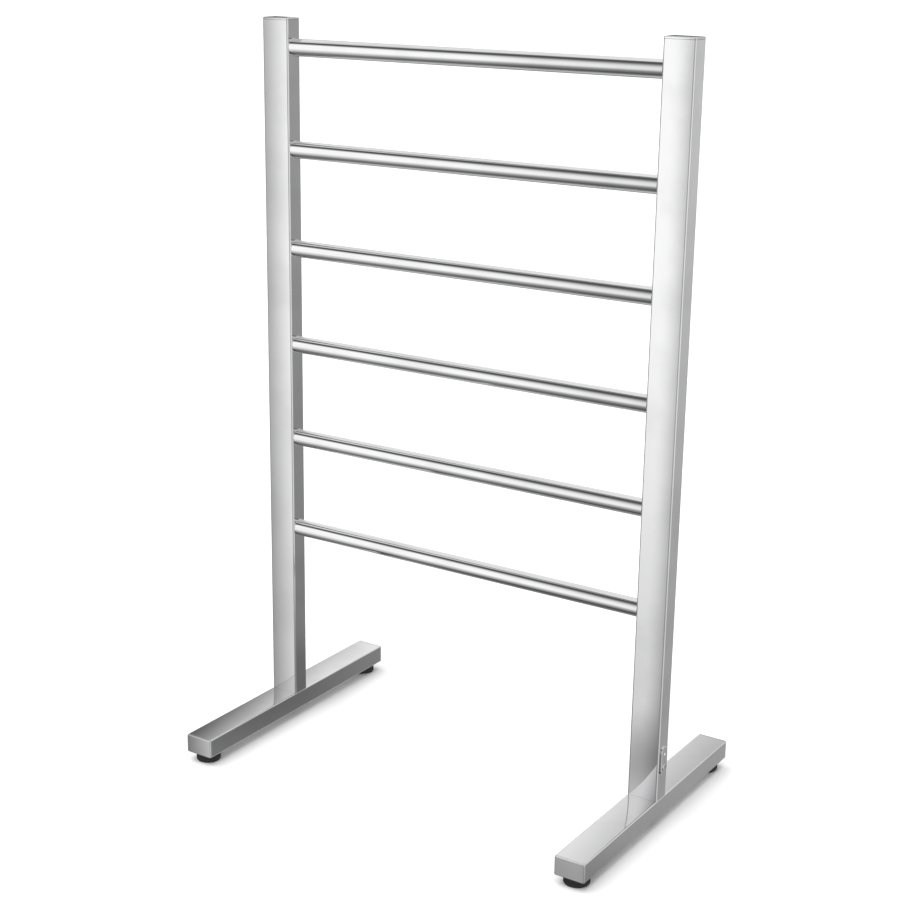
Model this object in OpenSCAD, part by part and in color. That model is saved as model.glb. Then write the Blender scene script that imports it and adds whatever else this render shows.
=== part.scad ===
// Free-standing electric towel warmer rack: two rectangular uprights on two foot bars,
// joined by round heated rungs, with a push switch low on the outside of the right upright.
// Frame: X runs right along the rungs, -Y is the front, +Z is up. The origin is on the floor,
// below the middle of the rack. All sizes are in millimetres.

/* [Rack] */
// Overall width over the two uprights
rack_w = 600; // [450:10:800]
// Overall height from the floor to the top of the caps
rack_h = 955; // [850:5:1200]
// Overall length of a foot bar from front to back, with its end caps
foot_len = 390; // [300:10:500]

/* [Rectangular tubes] */
// Width of the uprights and the foot bars, across the front
upright_w = 40; // [36:1:60]
// Depth of the uprights from front to back
upright_d = 25; // [25:1:40]
// Height of the foot bars
foot_h = 25; // [24:1:32]
// Wall thickness of all tubes
tube_wall = 1.2; // [1:0.1:1.5]
// Radius of the long outer edges of the rectangular tubes
tube_corner_r = 2; // [1.6:0.1:3]

/* [Rungs] */
// Number of rungs, even so that the heating cable ends in the upright that holds the switch
rung_count = 6; // [4, 6, 8]
// Outside diameter of a rung
rung_d = 22; // [16:1:22]
// Height of the lowest rung's axis above the floor
rung_first_z = 280; // [260:0.5:340]
// Distance from the highest rung's axis up to the top of the rack
rung_top_margin = 36.5; // [34:0.5:60]
// Length of a rung that stands inside each upright's wall
rung_seat = 3; // [2:0.5:4]

/* [Caps] */
// Thickness of the caps on top of the uprights
top_cap_t = 3; // [2.5:0.5:6]
// Thickness of the caps on the ends of the foot bars
end_cap_t = 2.5; // [2:0.5:5]
// Radius of the rounding around the outer face of a cap
cap_edge_r = 1.2; // [0.6:0.1:1.6]
// Depth of the plug that holds a top cap in its tube
top_plug_l = 12; // [6:1:14]
// Depth of the plug that holds an end cap in its tube
end_plug_l = 7; // [4:0.5:7]

/* [Levelling feet] */
// Diameter of a rubber foot
pad_d = 32; // [24:1:36]
// Height of a rubber foot when it is wound right in
pad_h = 12; // [10:1:16]
// Distance from the end of the foot bar to the axis of a foot
pad_inset = 19.5; // [19:0.5:40]
// Thread diameter of the stud
stud_d = 8; // [6:1:8]
// Distance that a foot can be wound out
foot_travel = 8; // [4:1:10]

/* [Switch] */
// Height of the switch plate's middle above the foot bar
switch_rise = 52; // [50:1:60]
// Width of the switch plate
bezel_w = 16; // [14:0.5:18]
// Height of the switch plate
bezel_h = 38.5; // [32:0.5:46.5]
// Thickness of the switch plate
bezel_t = 2; // [1.5:0.1:3]
// Diameter of the hole that the button stands in
button_hole_d = 9.8; // [8:0.1:9.8]
// Distance of the button's axis below the middle of the plate
button_drop = 8; // [6:0.5:10]
// Distance of the indicator lamp above the middle of the plate
lamp_rise = 9; // [6:0.5:11]
// Distance that the button is pressed in
button_travel = 1.5; // [1:0.1:2]
// Distance that the button stands proud of the plate
button_proud = 1.2; // [0.4:0.1:2]

/* [Cord inlet] */
// Diameter of the hole that the mains cord passes through
inlet_bore_d = 7.2; // [6:0.1:8]
// Height of the inlet above the foot bar
inlet_rise = 20; // [19:0.5:21]

/* [Heating cable] */
// Diameter of the heating cable
cable_d = 5; // [4:0.5:6]
// Radius of the cable's turns, at its axis
cable_bend_r = 16; // [12:1:16]
// Diameter of the thin inner leads
lead_d = 2.4; // [1.6:0.1:2.6]

/* [Hidden] */

$fn = 48;

// Colours of the materials
steel = "#c8cbcd";
plain_steel = "#9a9da0";
black_plastic = "#1c1c1e";
black_rubber = "#151515";
white_plastic = "#e8e6df";
red_silicone = "#a8392f";
brown_lead = "#6d4630";
blue_lead = "#3c5f9e";
green_lead = "#6a9a3f";
brass = "#c9a85a";
clear_plastic = "#d9dcdc";

// Named clearances between pieces
weld_gap = 0.05;
plug_gap = 0.1;
thread_gap = 0.05;
hole_gap = 0.3;
overcut = 1;

// Places that follow from the driving sizes
foot_top_z = pad_h + foot_h;
upright_x = (rack_w - upright_w) / 2;
inner_face_x = rack_w / 2 - upright_w;
upright_top_z = rack_h - top_cap_t;
cavity_w = upright_w - 2 * tube_wall;
cavity_d = upright_d - 2 * tube_wall;
foot_cavity_h = foot_h - 2 * tube_wall;
cavity_corner_r = tube_corner_r - tube_wall;
front_wall_y = -cavity_d / 2;
rear_wall_y = cavity_d / 2;
foot_tube_l = foot_len - 2 * end_cap_t;
pad_y = foot_len / 2 - pad_inset;

// Rungs
rung_end_x = inner_face_x + tube_wall + rung_seat;
rung_l = 2 * rung_end_x;
rung_bore_d = rung_d - 2 * tube_wall;
rung_pitch = (rack_h - rung_top_margin - rung_first_z) / (rung_count - 1);
function rung_z(i) = rung_first_z + (i - 1) * rung_pitch;

// Caps
plug_wall = 1.8;

// Joint between an upright and its foot bar
base_plate_t = 6;
base_bolt_d = 6;
base_bolt_spread = 10;
bolt_head_d = 10;
bolt_head_h = 4;
bolt_top_gap = 0.5;
washer_d = 12;
washer_t = 1.2;
access_hole_d = 12.5;
access_plug_flange_d = 15;
access_plug_flange_t = 1.2;
access_plug_l = 4;
access_plug_wall = 1.4;

// Levelling feet
weld_nut_af = 13;
weld_nut_h = 6.5;
stud_head_d = 16;
stud_head_h = 3;
stud_head_z = 4;
stud_engage = 3;
stud_rise = tube_wall + weld_nut_h + foot_travel + stud_engage;
pad_chamfer = 1.5;
pad_groove_r = 0.8;

// Switch
switch_z = foot_top_z + switch_rise;
button_z = switch_z - button_drop;
lamp_z = switch_z + lamp_rise;
side_x = rack_w / 2;
side_inner_x = side_x - tube_wall;
switch_wall_hole_gap = 0.2;
housing_depth = 22;
housing_back_x = side_x - housing_depth;
shelf_t = 1.5;
button_gap = 0.3;
button_flange_d = button_hole_d + 0.7;
button_flange_t = 1.5;
button_flange_gap = 0.3;
button_flange_x = side_x - button_flange_gap - button_flange_t;
housing_wall = 1;
housing_rim = 1.5;
flange_clearance = 0.25;
flange_room = button_flange_d / 2 + flange_clearance + housing_wall;
housing_w = max(bezel_w - 2 * housing_rim, 2 * flange_room);
housing_h = max(bezel_h - 2 * housing_rim, 2 * (button_drop + flange_room));
spring_closed_l = 5.2;
shelf_x = button_flange_x - spring_closed_l - button_travel - shelf_t;
stem_d = 3;
stem_through = 1;
button_edge_r = 0.8;
spring_r = 2.8;
spring_wire_r = 0.3;
spring_turns = 5;
spring_steps = 16;
spring_sides = 6;
lamp_d = 3.4;
lamp_gap = 0.05;
lamp_proud = 0.5;
lamp_flange_d = 5;
lamp_flange_t = 0.8;
led_d = 3;
led_l = 5;
blade_w = 6.3;
blade_t = 0.8;
blade_out = 7;
blade_in = 3;
blade_rise = 9;
blade_tip_x = housing_back_x - blade_out;

// Cord inlet
inlet_z = foot_top_z + inlet_rise;
gland_neck_d = 12;
gland_hex_af = 15;
gland_hex_t = 4;
gland_dome_d = 13;
gland_dome_l = 6;
gland_neck_l = 7;
gland_nut_af = 16;
gland_nut_t = 4;
gland_gap = 0.1;
gland_y = upright_d / 2;

// Heating cable
cable_x = rung_end_x + cable_bend_r + 1.5;
cable_gap = 0.2;
cable_drop = (rung_bore_d - cable_d) / 2 - cable_gap;
splice_d = 6.4;
splice_l = 18;
cable_start_z = foot_top_z + 181;
top_turn_z = rung_z(rung_count) - cable_drop - cable_bend_r;

// Terminal block and cut-out inside the right upright
block_w = 24;
block_d = 12;
block_h = 24;
block_z = foot_top_z + 81;
pole_pitch = 8;
pole_hole_d = 3.6;
pole_y = front_wall_y + 7.5;
pole_screw_d = 3;
pole_screw_inset = 6;
lead_grip = 12;
cutout_d = 16;
cutout_t = 8;
cutout_x = upright_x - 2;
cutout_z = foot_top_z + 141;
cutout_blade_y = front_wall_y + 6;
clip_t = 0.6;
clip_w = 10;
return_x = side_inner_x - 6;
return_y = 6;
earth_screw_y = -5.5;
earth_screw_d = 4;
earth_head_d = 7.5;
earth_head_h = 2.6;

// ---------- Shared shapes ----------

// A rectangle centred on the origin, with its corners rounded by true arcs
module rounded_rect(w, h, r) {
    square([w - 2 * r, h], center = true);
    square([w, h - 2 * r], center = true);
    for (sx = [-1, 1], sy = [-1, 1])
        translate([sx * (w / 2 - r), sy * (h / 2 - r)])
            circle(r);
}

// A rectangle standing on the X axis, with only its top corners rounded
module domed_rect(w, h, r) {
    translate([-w / 2, 0])
        square([w, h - r]);
    translate([-w / 2 + r, 0])
        square([w - 2 * r, h]);
    for (s = [-1, 1])
        translate([s * (w / 2 - r), h - r])
            circle(r);
}

// A pill outline that stands upright, centred on the origin
module pill(w, h) {
    square([w, h - w], center = true);
    for (s = [-1, 1])
        translate([0, s * (h - w) / 2])
            circle(w / 2);
}

// A flat pill plate whose back is at x and which grows towards +X
module pill_slab(w, h, x, t) {
    translate([x, 0, switch_z])
        rotate([90, 0, 90])
            linear_extrude(t)
                pill(w, h);
}

// A rod from x towards +X, at height z on the switch's middle plane
module switch_rod(d, z, x, l) {
    translate([x, 0, z])
        rotate([0, 90, 0])
            cylinder(h = l, d = d);
}

// A cap that closes a rectangular tube: crowned plate above z = 0, hollow plug below it
module tube_cap(w, d, t, plug_l) {
    intersection() {
        linear_extrude(t)
            rounded_rect(w, d, tube_corner_r);
        rotate([90, 0, 0])
            linear_extrude(d, center = true)
                domed_rect(w, t, cap_edge_r);
        rotate([90, 0, 90])
            linear_extrude(w, center = true)
                domed_rect(d, t, cap_edge_r);
    }
    plug_w = w - 2 * tube_wall - 2 * plug_gap;
    plug_d = d - 2 * tube_wall - 2 * plug_gap;
    translate([0, 0, -plug_l])
        linear_extrude(plug_l)
            difference() {
                rounded_rect(plug_w, plug_d, cavity_corner_r + 0.2);
                square([plug_w - 2 * plug_wall, plug_d - 2 * plug_wall], center = true);
            }
}

// A hexagonal prism with a round hole, measured across its flats
module hex_nut(af, h, bore_d) {
    difference() {
        cylinder(h = h, d = af / cos(30), $fn = 6);
        translate([0, 0, -overcut])
            cylinder(h = h + 2 * overcut, d = bore_d);
    }
}

// A vector of length one along v
function unit(v) = v / norm(v);

// The direction of a route at its point i
function heading(p, i) = unit(p[min(i + 1, len(p) - 1)] - p[max(i - 1, 0)]);

// Side directions square to a route, each turned as little as possible from the one before it
function side_ways(p, side, i = 0) =
    i == len(p) ? [] :
    let (t = heading(p, i), s = unit(side - (side * t) * t))
    concat([s], side_ways(p, s, i + 1));

// A route with its corners cut off, and its two ends kept
function cut_corners(p) =
    [p[0],
     for (i = [0 : len(p) - 2]) each [0.75 * p[i] + 0.25 * p[i + 1], 0.25 * p[i] + 0.75 * p[i + 1]],
     p[len(p) - 1]];

// A round wire of radius r along a route; side is any direction that the route doesn't start along
module swept_wire(route, r, sides, side) {
    s = side_ways(route, side);
    last = len(route) - 1;
    points = [for (i = [0 : last], k = [0 : sides - 1])
        let (a = 360 * k / sides)
            route[i] + r * cos(a) * s[i] + r * sin(a) * cross(heading(route, i), s[i])];
    walls = [for (i = [0 : last - 1], k = [0 : sides - 1])
        let (n = (k + 1) % sides, a = i * sides, b = a + sides)
            [a + k, b + k, b + n, a + n]];
    ends = [[for (k = [0 : sides - 1]) k],
            [for (k = [sides - 1 : -1 : 0]) last * sides + k]];
    polyhedron(points, concat(walls, ends));
}

// An inner lead along a route, with soft bends
module lead(points, d) {
    swept_wire(cut_corners(cut_corners(points)), d / 2, 8, [0, 1, 0]);
}

// Both places of a pair of pieces that stand across the rack's width under one upright
module at_base_bolts() {
    for (side = [-1, 1], s = [-1, 1])
        translate([side * upright_x + s * base_bolt_spread, 0, 0])
            children();
}

// The four corners where levelling feet stand
module at_feet() {
    for (side = [-1, 1], s = [-1, 1])
        translate([side * upright_x, s * pad_y, 0])
            children();
}

// ---------- Uprights and rungs ----------

// One upright tube, with holes for the rungs in the wall that faces the other upright
module upright(side) {
    translate([side * upright_x, 0, foot_top_z])
        linear_extrude(upright_top_z - foot_top_z)
            difference() {
                rounded_rect(upright_w, upright_d, tube_corner_r);
                rounded_rect(cavity_w, cavity_d, cavity_corner_r);
            }
}

module rung_holes(side) {
    hole_l = tube_wall + 2 * overcut;
    for (i = [1 : rung_count])
        translate([side * (inner_face_x + tube_wall / 2), 0, rung_z(i)])
            rotate([0, 90, 0])
                cylinder(h = hole_l, d = rung_d + 2 * weld_gap, center = true);
}

module left_upright() {
    color(steel)
        difference() {
            upright(-1);
            rung_holes(-1);
        }
}

module right_upright() {
    color(steel)
        difference() {
            upright(1);
            rung_holes(1);
            pill_slab(housing_w + switch_wall_hole_gap, housing_h + switch_wall_hole_gap,
                      side_inner_x - overcut, tube_wall + 2 * overcut);
            translate([upright_x, gland_y + overcut, inlet_z])
                rotate([90, 0, 0])
                    cylinder(h = tube_wall + 2 * overcut, d = gland_neck_d + 2 * gland_gap);
        }
}

module top_cap(side) {
    color(steel)
        translate([side * upright_x, 0, upright_top_z])
            tube_cap(upright_w, upright_d, top_cap_t, top_plug_l);
}

module rung(i) {
    color(steel)
        translate([0, 0, rung_z(i)])
            rotate([0, 90, 0])
                difference() {
                    cylinder(h = rung_l, d = rung_d, center = true);
                    cylinder(h = rung_l + 2 * overcut, d = rung_bore_d, center = true);
                }
}

// ---------- Foot bars ----------

// One foot bar: a tube from front to back, drilled for the base bolts, their access and the studs
module foot_bar(side) {
    color(steel)
        difference() {
            translate([side * upright_x, 0, pad_h + foot_h / 2])
                rotate([90, 0, 0])
                    linear_extrude(foot_tube_l, center = true)
                        difference() {
                            rounded_rect(upright_w, foot_h, tube_corner_r);
                            rounded_rect(cavity_w, foot_cavity_h, cavity_corner_r);
                        }
            for (s = [-1, 1]) {
                translate([side * upright_x + s * base_bolt_spread, 0, foot_top_z - tube_wall - overcut])
                    cylinder(h = tube_wall + 2 * overcut, d = base_bolt_d + 2 * hole_gap);
                translate([side * upright_x + s * base_bolt_spread, 0, pad_h - overcut])
                    cylinder(h = tube_wall + 2 * overcut, d = access_hole_d);
                translate([side * upright_x, s * pad_y, pad_h - overcut])
                    cylinder(h = tube_wall + 2 * overcut, d = stud_d + 2 * hole_gap);
            }
        }
}

// The cap at one end of a foot bar; end is -1 at the front and 1 at the rear
module end_cap(side, end) {
    color(steel)
        translate([side * upright_x, end * foot_tube_l / 2, pad_h + foot_h / 2])
            rotate([-90 * end, 0, 0])
                tube_cap(upright_w, foot_h, end_cap_t, end_plug_l);
}

// Threaded plate welded into the lower end of an upright
module base_plate(side) {
    color(plain_steel)
        difference() {
            translate([side * upright_x, 0, foot_top_z])
                linear_extrude(base_plate_t)
                    rounded_rect(cavity_w - 2 * plug_gap, cavity_d - 2 * plug_gap, cavity_corner_r);
            for (s = [-1, 1])
                translate([side * upright_x + s * base_bolt_spread, 0, foot_top_z - overcut])
                    cylinder(h = base_plate_t + 2 * overcut, d = base_bolt_d + 2 * thread_gap);
            if (side == 1)
                translate([upright_x, earth_screw_y, foot_top_z - overcut])
                    cylinder(h = base_plate_t + 2 * overcut, d = earth_screw_d + 2 * thread_gap);
        }
}

module base_bolts() {
    under_head_z = foot_top_z - tube_wall - washer_t;
    color(plain_steel)
        at_base_bolts() {
            translate([0, 0, under_head_z])
                cylinder(h = foot_top_z + base_plate_t - bolt_top_gap - under_head_z, d = base_bolt_d);
            difference() {
                translate([0, 0, under_head_z - bolt_head_h])
                    cylinder(h = bolt_head_h, d = bolt_head_d);
                translate([0, 0, under_head_z - bolt_head_h - overcut])
                    cylinder(h = bolt_head_h / 2 + overcut, d = base_bolt_d - 1, $fn = 6);
            }
        }
}

module base_washers() {
    color(plain_steel)
        at_base_bolts()
            translate([0, 0, foot_top_z - tube_wall - washer_t])
                difference() {
                    cylinder(h = washer_t, d = washer_d);
                    translate([0, 0, -overcut])
                        cylinder(h = washer_t + 2 * overcut, d = base_bolt_d + 2 * hole_gap);
                }
}

// Cup-shaped plugs that close the access holes under the foot bars
module access_plugs() {
    color(black_plastic)
        at_base_bolts()
            difference() {
                union() {
                    translate([0, 0, pad_h - access_plug_flange_t])
                        cylinder(h = access_plug_flange_t, d = access_plug_flange_d);
                    translate([0, 0, pad_h - overcut])
                        cylinder(h = access_plug_l + overcut, d = access_hole_d - 2 * plug_gap);
                }
                translate([0, 0, pad_h])
                    cylinder(h = access_plug_l + overcut,
                             d = access_hole_d - 2 * plug_gap - 2 * access_plug_wall);
            }
}

// ---------- Levelling feet ----------

module foot_weld_nuts() {
    color(plain_steel)
        at_feet()
            translate([0, 0, pad_h + tube_wall])
                hex_nut(weld_nut_af, weld_nut_h, stud_d + 2 * thread_gap);
}

// Steel stud with a round head that is held inside the rubber
module foot_stud(side, end) {
    color(plain_steel)
        translate([side * upright_x, end * pad_y, stud_head_z]) {
            cylinder(h = stud_head_h, d = stud_head_d);
            cylinder(h = pad_h - stud_head_z + stud_rise, d = stud_d);
        }
}

// Rubber foot: a turned disc with chamfered rims and a shallow grip groove
module foot_pad(side, end) {
    r = pad_d / 2;
    color(black_rubber)
        translate([side * upright_x, end * pad_y, 0])
            difference() {
                rotate_extrude()
                    difference() {
                        polygon([[0, 0], [r - pad_chamfer, 0], [r, pad_chamfer],
                                 [r, pad_h - pad_chamfer], [r - pad_chamfer, pad_h], [0, pad_h]]);
                        translate([r, pad_h / 2])
                            circle(pad_groove_r);
                    }
                translate([0, 0, stud_head_z - thread_gap])
                    cylinder(h = stud_head_h + 2 * thread_gap, d = stud_head_d + 2 * thread_gap);
                translate([0, 0, stud_head_z])
                    cylinder(h = pad_h, d = stud_d + 2 * thread_gap);
            }
}

// ---------- Switch on the right upright ----------

// A pill plate with a rounded front rim: two turned ends joined by a straight rounded bar
module domed_pill(w, h, t) {
    rim_r = t / 2;
    half = (h - w) / 2;
    for (s = [-1, 1])
        translate([0, s * half, 0])
            rotate_extrude()
                intersection() {
                    domed_rect(w, t, rim_r);
                    square([w, t]);
                }
    rotate([90, 0, 0])
        linear_extrude(2 * half, center = true)
            domed_rect(w, t, rim_r);
}

// Polished plate on the outside of the right upright, with holes for the button and the lamp
module switch_bezel() {
    color(steel)
        difference() {
            translate([side_x, 0, switch_z])
                rotate([90, 0, 90])
                    domed_pill(bezel_w, bezel_h, bezel_t);
            switch_rod(button_hole_d, button_z, side_x - overcut, bezel_t + 2 * overcut);
            switch_rod(lamp_d + 2 * lamp_gap, lamp_z, side_x - overcut, bezel_t + 2 * overcut);
        }
}

// Moulded box behind the plate, open towards the plate, with the shelf that guides the button
module switch_housing() {
    color(black_plastic)
        difference() {
            pill_slab(housing_w, housing_h, housing_back_x, housing_depth);
            difference() {
                pill_slab(housing_w - 2 * housing_wall, housing_h - 2 * housing_wall,
                          housing_back_x + shelf_t, housing_depth);
                translate([shelf_x, -housing_w / 2, switch_z - housing_h / 2])
                    cube([shelf_t, housing_w, housing_h / 2 + 2]);
            }
            switch_rod(stem_d + 2 * thread_gap, button_z, shelf_x - overcut, shelf_t + 2 * overcut);
            for (s = [-1, 1])
                translate([housing_back_x - overcut, -blade_w / 2 - weld_gap,
                           switch_z + s * blade_rise - blade_t / 2 - weld_gap])
                    cube([shelf_t + 2 * overcut, blade_w + 2 * weld_gap, blade_t + 2 * weld_gap]);
        }
}

module switch_blades() {
    color(brass)
        for (s = [-1, 1])
            translate([blade_tip_x, -blade_w / 2, switch_z + s * blade_rise - blade_t / 2])
                cube([blade_out + shelf_t + blade_in, blade_w, blade_t]);
}

// Push button with a softly rounded cap, a flange behind the plate and a guide stem
module power_button() {
    cap_r = button_hole_d / 2 - button_gap;
    cap_l = bezel_t + button_flange_gap + button_proud;
    color(steel)
        translate([button_flange_x, 0, button_z])
            rotate([0, 90, 0]) {
                cylinder(h = button_flange_t, d = button_flange_d);
                translate([0, 0, shelf_x - stem_through - button_flange_x])
                    cylinder(h = button_flange_x - shelf_x + stem_through + overcut, d = stem_d);
                translate([0, 0, button_flange_t])
                    rotate_extrude()
                        intersection() {
                            domed_rect(2 * cap_r, cap_l, button_edge_r);
                            square([cap_r, cap_l]);
                        }
            }
}

// Compression spring between the shelf and the button's flange
module button_spring() {
    x0 = shelf_x + shelf_t + spring_wire_r;
    x1 = button_flange_x - spring_wire_r;
    steps = spring_turns * spring_steps;
    helix = [for (i = [0 : steps])
        let (a = 360 * i / spring_steps)
            [x0 + (x1 - x0) * i / steps, spring_r * cos(a), button_z + spring_r * sin(a)]];
    color(plain_steel)
        swept_wire(helix, spring_wire_r, spring_sides, [1, 0, 0]);
}

module indicator_lens() {
    color(clear_plastic) {
        switch_rod(lamp_d, lamp_z, side_x - lamp_flange_t / 2, bezel_t + lamp_flange_t / 2 + lamp_proud);
        switch_rod(lamp_flange_d, lamp_z, side_x - lamp_flange_t, lamp_flange_t);
    }
}

module indicator_led() {
    color(white_plastic)
        switch_rod(led_d, lamp_z, side_x - lamp_flange_t - led_l, led_l);
}

// ---------- Cord inlet at the back of the right upright ----------

// Gland with a hexagonal shoulder outside the wall and a threaded neck through it
module cord_gland() {
    color(black_plastic)
        translate([upright_x, gland_y, inlet_z])
            rotate([-90, 0, 0])
                difference() {
                    union() {
                        cylinder(h = gland_hex_t, d = gland_hex_af / cos(30), $fn = 6);
                        cylinder(h = gland_hex_t + gland_dome_l, d = gland_dome_d);
                        translate([0, 0, -tube_wall - gland_neck_l])
                            cylinder(h = tube_wall + gland_neck_l + overcut, d = gland_neck_d);
                    }
                    translate([0, 0, -tube_wall - gland_neck_l - overcut])
                        cylinder(h = tube_wall + gland_neck_l + gland_hex_t + gland_dome_l + 2 * overcut,
                                 d = inlet_bore_d);
                }
}

module gland_nut() {
    color(black_plastic)
        translate([upright_x, rear_wall_y, inlet_z])
            rotate([90, 0, 0])
                hex_nut(gland_nut_af, gland_nut_t, gland_neck_d + 2 * thread_gap);
}

// ---------- Heating cable and wiring ----------

// One turn of the cable in an upright: a quarter circle between a rung and the upright run
module cable_quarter(side, z, up) {
    translate([side * (cable_x - cable_bend_r), 0, z + up * cable_bend_r])
        rotate([90, 0, 0])
            rotate([0, 0, side == 1 ? (up == 1 ? -90 : 0) : (up == 1 ? 180 : 90)])
                rotate_extrude(angle = 90)
                    translate([cable_bend_r, 0])
                        circle(d = cable_d, $fn = 24);
}

// A straight stretch of cable up an upright, between two heights
module cable_rise(side, z0, z1) {
    translate([side * cable_x, 0, z0])
        cylinder(h = z1 - z0, d = cable_d, $fn = 24);
}

// The whole cable: along every rung in turn, lying on the bottom of its bore
module heating_cable() {
    run_l = 2 * (cable_x - cable_bend_r);
    color(red_silicone) {
        for (i = [1 : rung_count])
            translate([0, 0, rung_z(i) - cable_drop])
                rotate([0, 90, 0])
                    cylinder(h = run_l, d = cable_d, center = true, $fn = 24);
        for (i = [1 : rung_count - 1]) {
            side = i % 2 == 1 ? -1 : 1;
            z0 = rung_z(i) - cable_drop;
            z1 = rung_z(i + 1) - cable_drop;
            cable_quarter(side, z0, 1);
            cable_rise(side, z0 + cable_bend_r, z1 - cable_bend_r);
            cable_quarter(side, z1, -1);
        }
        cable_quarter(1, rung_z(1) - cable_drop, -1);
        cable_rise(1, cable_start_z, rung_z(1) - cable_drop - cable_bend_r);
        cable_quarter(1, rung_z(rung_count) - cable_drop, -1);
    }
}

// Crimped sleeves at the two ends of the heating cable
module cable_splices() {
    color(white_plastic)
        for (z = [cable_start_z - splice_l, top_turn_z - splice_l])
            translate([cable_x, 0, z])
                cylinder(h = splice_l, d = splice_d, $fn = 24);
}

module element_lead() {
    color(brown_lead)
        lead([[cutout_x, cutout_blade_y, cutout_z + cutout_d / 2 + 1],
              [cutout_x, cutout_blade_y, cutout_z + cutout_d / 2 + 4],
              [cable_x, 0, cable_start_z - splice_l - 3],
              [cable_x, 0, cable_start_z - splice_l]], lead_d);
}

module return_lead() {
    pole_x = upright_x + pole_pitch;
    color(blue_lead)
        lead([[cable_x, 0, top_turn_z - splice_l],
              [cable_x, 0, top_turn_z - splice_l - 3],
              [return_x, return_y, top_turn_z - splice_l - 12],
              [return_x, return_y, block_z + block_h + 20],
              [pole_x, pole_y, block_z + block_h + 8],
              [pole_x, pole_y, block_z + block_h - lead_grip]], lead_d);
}

module supply_lead() {
    color(brown_lead)
        lead([[upright_x, pole_y, block_z + block_h - lead_grip],
              [upright_x, pole_y, block_z + block_h + 7],
              [upright_x - 4, return_y + 1, block_z + block_h + 5],
              [upright_x - 4, return_y + 1, block_z - 6],
              [blade_tip_x - 2, 2, switch_z + blade_rise + 8],
              [blade_tip_x - 4, 0, switch_z + blade_rise],
              [blade_tip_x, 0, switch_z + blade_rise]], lead_d);
}

module switch_lead() {
    side_run_x = inner_face_x + tube_wall + 3.5;
    color(brown_lead)
        lead([[blade_tip_x, 0, switch_z - blade_rise],
              [blade_tip_x - 4, 0, switch_z - blade_rise],
              [side_run_x, -6, switch_z - blade_rise + 6],
              [side_run_x, -6, block_z + block_h + 8],
              [cutout_x, cutout_blade_y, cutout_z - cutout_d / 2 - 4],
              [cutout_x, cutout_blade_y, cutout_z - cutout_d / 2 - 1]], lead_d);
}

module earth_lead() {
    pole_x = upright_x - pole_pitch;
    side_run_x = inner_face_x + tube_wall + 4;
    earth_lead_z = foot_top_z + base_plate_t + lead_d / 2 + 0.2;
    color(green_lead)
        lead([[pole_x, pole_y, block_z + block_h - lead_grip],
              [pole_x, pole_y, block_z + block_h + 5],
              [side_run_x, return_y + 1, block_z + block_h + 3],
              [side_run_x, return_y + 1, earth_lead_z + 12],
              [side_run_x, earth_screw_y, earth_lead_z + 4],
              [side_run_x + 4, earth_screw_y, earth_lead_z],
              [upright_x - earth_head_d / 2, earth_screw_y, earth_lead_z]], lead_d);
}

module earth_screw() {
    top_z = foot_top_z + base_plate_t;
    color(brass)
        translate([upright_x, earth_screw_y, 0]) {
            translate([0, 0, foot_top_z + 0.5])
                cylinder(h = base_plate_t, d = earth_screw_d);
            translate([0, 0, top_z])
                cylinder(h = earth_head_h, d = earth_head_d);
        }
}

// Three-pole block against the front wall, with a wire hole and two clamp screws in each pole
module terminal_block() {
    color(white_plastic)
        difference() {
            translate([upright_x - block_w / 2, front_wall_y, block_z])
                cube([block_w, block_d, block_h]);
            for (pole = [-1 : 1])
                translate([upright_x + pole * pole_pitch, pole_y, block_z - overcut])
                    cylinder(h = block_h + 2 * overcut, d = pole_hole_d);
            at_pole_screws()
                cylinder(h = block_d, d = pole_screw_d + 2 * thread_gap);
        }
}

// Places the clamp screws: each points from the wire hole out through the block's rear face
module at_pole_screws() {
    for (pole = [-1 : 1], z = [block_z + pole_screw_inset, block_z + block_h - pole_screw_inset])
        translate([upright_x + pole * pole_pitch, pole_y + lead_d / 2 + 0.1, z])
            rotate([-90, 0, 0])
                children();
}

module terminal_screws() {
    color(brass)
        at_pole_screws()
            cylinder(h = front_wall_y + block_d - pole_y - lead_d / 2 - 0.1, d = pole_screw_d);
}

// Disc cut-out pressed against the front wall, with a blade above and below its body
module thermal_cutout() {
    blade = [blade_w, blade_t, cutout_d + 2];
    color(black_plastic)
        translate([cutout_x, front_wall_y, cutout_z]) {
            rotate([-90, 0, 0])
                cylinder(h = cutout_t, d = cutout_d);
            translate([-blade.x / 2, cutout_blade_y - front_wall_y - blade.y / 2, -blade.z / 2])
                cube(blade);
        }
}

// Leaf spring that bridges from the rear wall and presses the cut-out against the front wall
module cutout_clip() {
    reach = cavity_d - cutout_t - clip_t;
    foot_l = 5;
    span = cutout_d - 2;
    color(plain_steel)
        translate([cutout_x, front_wall_y + cutout_t, cutout_z - clip_w / 2])
            linear_extrude(clip_w) {
                translate([-span / 2, 0])
                    square([span, clip_t]);
                for (s = [-1, 1]) {
                    translate([s * (span / 2 - clip_t / 2) - clip_t / 2, 0])
                        square([clip_t, reach + clip_t]);
                    translate([s * (span / 2 - foot_l / 2) - foot_l / 2, reach])
                        square([foot_l, clip_t]);
                }
            }
}

// ---------- Nodes ----------

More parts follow.
